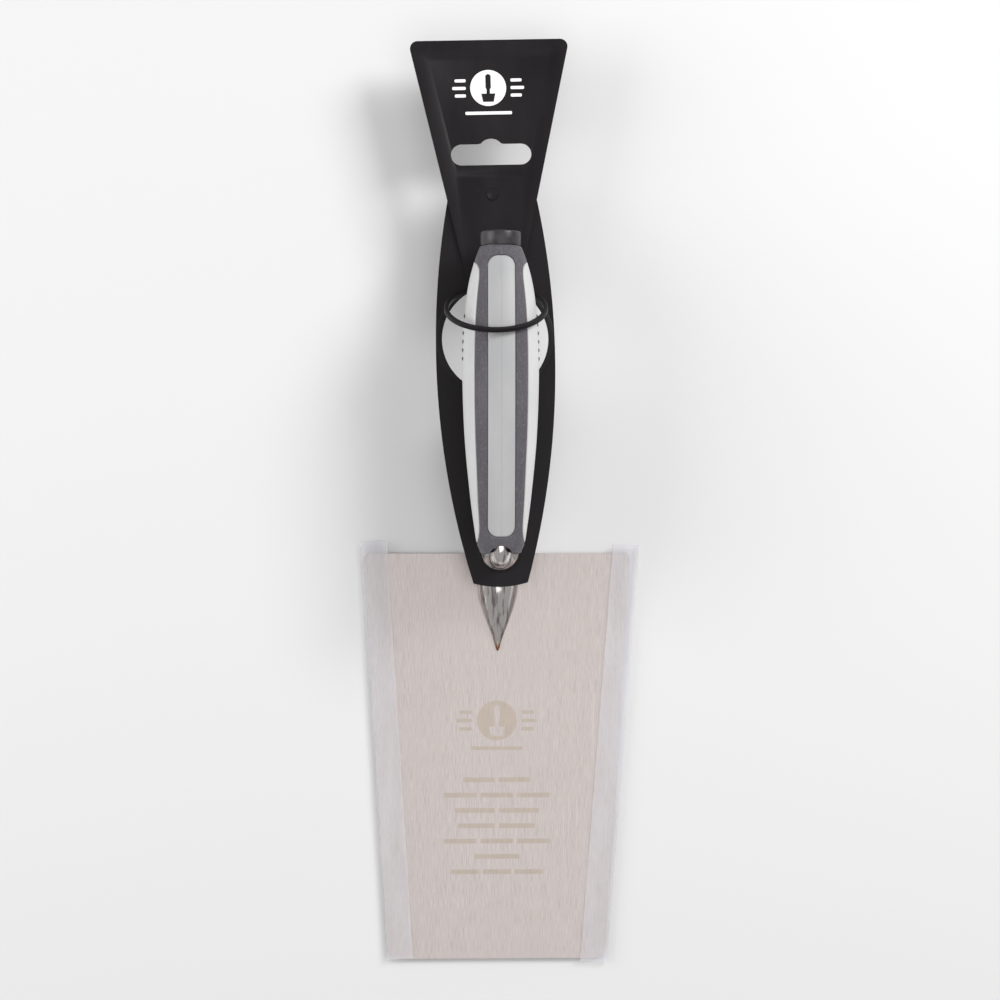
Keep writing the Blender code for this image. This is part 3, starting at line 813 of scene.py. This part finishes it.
def build_blade_marks(finish):
    """Laser marking: the pictogram, then lines of plain dashes of different lengths."""
    centre = HEEL_Y - 73.0 * MM
    place = Matrix.Translation((BLADE_X, centre, 0.0))
    low, high = BLADE_TOP - 0.02 * MM, BLADE_TOP + 0.012 * MM
    add_marks("blade_emblem", emblem(34.0 * MM), place, low, high, finish, "trowel")
    shapes = []
    for line, (width, parts) in enumerate(((29, 2), (45, 3), (36, 2), (33, 2), (45, 3), (20, 1), (39, 3))):
        y = -(19.2 + 6.25 * line) * MM
        share = width * MM / parts
        for part in range(parts):
            x = (part - (parts - 1) / 2) * share
            shapes.append([box_outline(x, y, share - 1.6 * MM, 1.9 * MM, 0.4 * MM)])
    add_marks("blade_lines", shapes, place, low, high, finish, "trowel")


# ---- Hanger ----------------------------------------------------------------------------------------

def leaf_half(at):
    drop = LEAF_SIDE_RADIUS - math.sqrt(LEAF_SIDE_RADIUS ** 2 - (at - LEAF_WIDEST) ** 2)
    return LEAF_MAX_HALF - drop


def build_leaf(finish):
    steps = 60
    stops = [LEAF_FOOT + (LEAF_TOP - LEAF_FOOT) * i / steps for i in range(steps + 1)]
    outline = [(leaf_half(at), at) for at in stops]
    crown_radius = math.hypot(leaf_half(LEAF_TOP), LEAF_CROWN_DEPTH)
    crown_start = math.degrees(math.atan2(LEAF_CROWN_DEPTH, leaf_half(LEAF_TOP)))
    outline += arc((0.0, LEAF_TOP - LEAF_CROWN_DEPTH), crown_radius, crown_start, 180 - crown_start, 16)[1:-1]
    outline += [(-leaf_half(at), at) for at in stops[::-1]]
    foot_half = leaf_half(LEAF_FOOT)
    rise = math.sqrt(LEAF_FOOT_RADIUS ** 2 - foot_half ** 2)
    spread_angle = math.degrees(math.asin(foot_half / LEAF_FOOT_RADIUS))
    foot = arc((0.0, LEAF_FOOT + rise), LEAF_FOOT_RADIUS, 270 - spread_angle, 270 + spread_angle, 14)
    outline += foot[1:-1]
    hole = arc((0.0, 0.0), HOLE_RADIUS, 0, 355, 71)
    opening = arc((0.0, OPENING_CENTRE), OPENING_RADIUS, 0, 357, 119)
    mesh = plate_mesh("leaf_fine", [outline, hole, opening], leaf_low.z, leaf_high.z, HANGER)
    leaf = piece("leaf_fine", mesh, finish, "hanger", ("hanger_leaf",))
    round_edges(leaf, 0.25 * MM)

    top = leaf_high.z
    for name, centre, inner, outer in (("opening_rim", OPENING_CENTRE, OPENING_RADIUS, 23.6 * MM),
                                       ("neck_hole_rim", 0.0, HOLE_RADIUS, 8.6 * MM)):
        profile = [(inner, top - 0.4 * MM), (inner, top + 0.12 * MM), (inner + 0.12 * MM, top + 0.24 * MM),
                   (outer - 0.3 * MM, top + 0.24 * MM), (outer, top + 0.02 * MM), (outer, top - 0.4 * MM),
                   (inner, top - 0.4 * MM)]
        place = HANGER @ Matrix.Translation((0.0, centre, 0.0))
        piece(name, turned_mesh(name, profile, 128, place), finish, "hanger")


def header_half(at):
    share = (at - HEADER_FOOT) / (HEADER_TOP - HEADER_FOOT)
    return HEADER_FOOT_HALF + (HEADER_TOP_HALF - HEADER_FOOT_HALF) * share


def slot_outline():
    slot = arc((SLOT_HALF - SLOT_ROUND, SLOT_CENTRE), SLOT_ROUND, -90, 90, 18)
    top = SLOT_CENTRE + SLOT_ROUND
    slot += [(5.2 * MM, top), (4.6 * MM, top + 0.15 * MM)]
    slot += arc((0.0, top - 3.0 * MM), 5.15 * MM, 38.5, 90, 14)
    return slot + [(-x, y) for x, y in slot[::-1][1:]]


def sloped_cutter(name, outline, floor, depth, slope):
    """A cutter whose sides lean outwards, so that it leaves a sloped border round its flat floor."""
    centre = sum((Vector(point) for point in outline), Vector((0.0, 0.0))) / len(outline)
    half_x = max(abs(x - centre.x) for x, _ in outline)
    half_y = max(abs(y - centre.y) for _, y in outline)
    work = bmesh.new()
    rows = []
    for height, grow in ((0.0, 0.0), (depth, slope), (3 * depth, 3 * slope)):
        rows.append([(centre.x + (x - centre.x) * (1 + grow / half_x),
                      centre.y + (y - centre.y) * (1 + grow / half_y), floor + height) for x, y in outline])
    made = add_grid(work, rows, wrap=True)
    work.faces.new(made[0])
    work.faces.new(made[-1])
    return finish_mesh(work, name, HANGER)


def build_header(finish, white):
    recess_depth = 0.5 * MM
    inset = 6.5 * MM
    panel_foot, panel_top = 148.8 * MM, HEADER_TOP - 5.7 * MM
    corners = ((-HEADER_TOP_HALF, HEADER_TOP, 3.0 * MM), (-HEADER_FOOT_HALF, HEADER_FOOT, 1.0 * MM),
               (HEADER_FOOT_HALF, HEADER_FOOT, 1.0 * MM), (HEADER_TOP_HALF, HEADER_TOP, 3.0 * MM))
    top_half = header_half(panel_top) - inset
    foot_half = header_half(panel_foot) - inset
    panel = rounded_outline(((-top_half, panel_top, 2.0 * MM), (-foot_half, panel_foot, 2.0 * MM),
                             (foot_half, panel_foot, 2.0 * MM), (top_half, panel_top, 2.0 * MM)))
    floor = header_high.z - recess_depth
    mesh = plate_mesh("header_fine", [rounded_outline(corners), slot_outline()], header_low.z,
                      header_high.z, HANGER)
    header = piece("header_fine", mesh, finish, "hanger", ("hanger_header",))
    cut_with(header, sloped_cutter("recess", panel, floor, recess_depth, 1.3 * MM))
    round_edges(header, 0.2 * MM, angle=40)

    # The round marks left by ejector pins.
    marks = []
    for x, y in ((27.6, 200.2), (-27.8, 200.0)):
        marks.append([arc((x * MM, y * MM), radius * MM, 0, 350, 35) for radius in (1.0, 0.7)])
    add_marks("ejector_marks", marks, HANGER, header_high.z - 0.05 * MM, header_high.z + 0.06 * MM,
              finish, "hanger")
    place = HANGER @ Matrix.Translation((-0.6 * MM, 180.0 * MM, 0.0))
    add_marks("header_emblem", emblem(30.0 * MM), place, floor - 0.02 * MM, floor + 0.05 * MM,
              white, "hanger")


def build_stud(finish):
    """The snap stud that holds the two leaves together."""
    top, low = header_high.z, stud_low.z
    profile = [(0.0, top + 0.25 * MM), (1.3 * MM, top + 0.25 * MM), (1.6 * MM, top + 0.45 * MM),
               (2.2 * MM, top + 0.42 * MM), (2.5 * MM, top + 0.1 * MM), (2.5 * MM, top - 0.1 * MM),
               (1.4 * MM, top - 0.1 * MM), (1.4 * MM, leaf_low.z), (2.4 * MM, leaf_low.z),
               (2.5 * MM, leaf_low.z - 0.3 * MM), (2.2 * MM, low), (0.0, low)]
    place = HANGER @ Matrix.Translation((0.0, STUD_CENTRE, 0.0))
    piece("stud_fine", turned_mesh("stud_fine", profile, 64, place), finish, "hanger",
          ("hanger_stud",))


def build_ring(finish):
    """The tie ring in its open place round the grip, with the web that hinges it to the tongue."""
    half = RING_DEPTH / 2
    edge = 0.3 * MM
    profile = []
    outer, inner = RING_OUTER - edge, RING_INNER + edge
    for radius, height, start in ((outer, half - edge, 90), (outer, edge - half, 0),
                                  (inner, edge - half, -90), (inner, half - edge, -180)):
        profile += arc((radius, height), edge, start, start - 90, 5)
    profile.append(profile[0])
    turn = Matrix.Rotation(LEAN, 4, "Z") @ Matrix.Rotation(-OPEN_ANGLE, 4, "X")
    swing = Matrix.Translation(HINGE_PLACE) @ turn
    place = swing @ Matrix.Translation((0.0, -HINGE_TO_RING - RING_OUTER, 0.0))
    ring = turned_mesh("ring_fine", profile, 160, place)
    piece("ring_fine", ring, finish, "ring", ("hanger_ring",))
    web = plate_mesh("ring_web", [box_outline(0.0, -1.25 * MM, 6.0 * MM, 3.2 * MM, 0.4 * MM)],
                     -0.3 * MM, 0.3 * MM, swing)
    web = piece("ring_web", web, finish, "ring", ("hanger_ring",))
    round_edges(web, 0.15 * MM)


# ---- Guards ----------------------------------------------------------------------------------------

def build_guard(node, side, finish):
    """Frosted U-channel over one edge of the blade, with a flared lip."""
    low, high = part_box(node)
    body = node.replace("edge_", "")
    slide = Vector(joints[body + "_slide"]["axis"])
    lean = math.atan2(-slide.y, abs(slide.x))
    # The fold line reaches the box's side at the heel end and starts at the box's toe end.
    heel_x = low.x if side < 0 else high.x
    toe_x = heel_x - side * GUARD_LENGTH * math.sin(lean)
    height = 2.8 * MM
    bend = 0.8 * MM
    section = [(10.6 * MM, 0.0), (10.2 * MM, 0.0)]
    section += arc((bend, bend), bend, 270, 180, 8)
    section += arc((bend, height - bend), bend, 180, 90, 8)
    section += [(8.4 * MM, height), (9.0 * MM, height + 0.06 * MM), (9.5 * MM, height + 0.2 * MM),
                (11.0 * MM, height + 0.5 * MM)]
    work = bmesh.new()
    spans = 40
    rows = [[(-side * across, GUARD_LENGTH * i / spans, up) for across, up in section]
            for i in range(spans + 1)]
    add_grid(work, rows)
    place = Matrix.Translation((toe_x, low.y, 0.0)) @ Matrix.Rotation(-side * lean, 4, "Z")
    mesh = finish_mesh(work, node + "_fine", place)
    guard = piece(node + "_fine", mesh, finish, body, (node,))
    wall = guard.modifiers.new("wall", "SOLIDIFY")
    wall.thickness = GUARD_WALL
    wall.offset = -1.0
    wall.use_even_offset = True
    round_edges(guard, 0.12 * MM, segments=2)


# ---- Stage -----------------------------------------------------------------------------------------

def build_floor():
    just_below = -0.1 * MM
    bpy.ops.mesh.primitive_plane_add(size=6.0, location=(0.0, 0.0, just_below))
    floor = bpy.context.object
    floor.name = "floor"
    floor.data.materials.append(new_material("floor", (0.72, 0.72, 0.72), 0.9)[0])


def add_light(name, location, size, energy, target=(0.0, 0.0, 0.0)):
    light = bpy.data.lights.new(name, "AREA")
    light.size = size
    light.energy = energy
    obj = bpy.data.objects.new(name, light)
    obj.location = location
    obj.rotation_mode = "QUATERNION"
    obj.rotation_quaternion = (Vector(target) - Vector(location)).to_track_quat("-Z", "Y")
    bpy.context.scene.collection.objects.link(obj)


def build_lights():
    add_light("key", (0.80, 0.65, 0.85), 0.5, 13.0)
    add_light("side", (-1.0, 0.15, 0.55), 0.7, 6.5)
    add_light("top", (0.1, -0.3, 1.6), 1.2, 6.0)
    bpy.context.scene.view_settings.view_transform = "Standard"
    world = bpy.data.worlds.new("studio")
    bpy.context.scene.world = world
    world.use_nodes = True
    background = world.node_tree.nodes["Background"]
    background.inputs["Color"].default_value = (0.98, 0.96, 0.96, 1.0)
    background.inputs["Strength"].default_value = 0.40


def build_camera():
    """One metre above the blade, an assumed distance, a little left of its axis and turned slightly to it."""
    distance = 1.0
    width_in_view = 407.4 * MM
    sensor = 36.0
    middle_y = HEEL_Y + 21.8 * MM
    data = bpy.data.cameras.new("camera")
    data.sensor_width = sensor
    data.lens = sensor * distance / width_in_view
    camera = bpy.data.objects.new("camera", data)
    camera.location = (BLADE_X - 28.0 * MM, middle_y, distance + BLADE_TOP)
    aim = Vector((BLADE_X + 1.3 * MM, middle_y, BLADE_TOP))
    camera.rotation_mode = "QUATERNION"
    forward = (aim - camera.location).normalized()
    right = forward.cross(Vector((0.0, 1.0, 0.0))).normalized()
    up = right.cross(forward)
    turn = Matrix((right, up, -forward)).transposed()
    camera.rotation_quaternion = turn.to_quaternion()
    bpy.context.scene.collection.objects.link(camera)
    bpy.context.scene.camera = camera


build_camera()
build_floor()
build_lights()

steel = brushed_steel()
core_grey = core_plastic("grey_core", (0.36, 0.365, 0.37), (0.41, 0.41, 0.415))
# The side panels' paler copy of the core plastic is painted light from the side lamps.
core_lit_copy = core_plastic("core_painted_lit", (0.54, 0.545, 0.55), (0.61, 0.61, 0.61))
grip_dark = soft_grip()
black = hanger_black()
frosted = frosted_plastic()

build_blade(steel)
build_blade_marks(etched_steel())
build_tang(polished_steel())
build_core(core_grey, core_lit_copy)
build_sleeve(grip_dark)
build_grip_dots(grip_dark)
build_cap(cap_plastic())
build_leaf(black)
build_header(black, print_white())
build_stud(black)
build_ring(black)
build_guard("edge_guard_left", -1, frosted)
build_guard("edge_guard_right", 1, frosted)

bpy.context.view_layer.update()
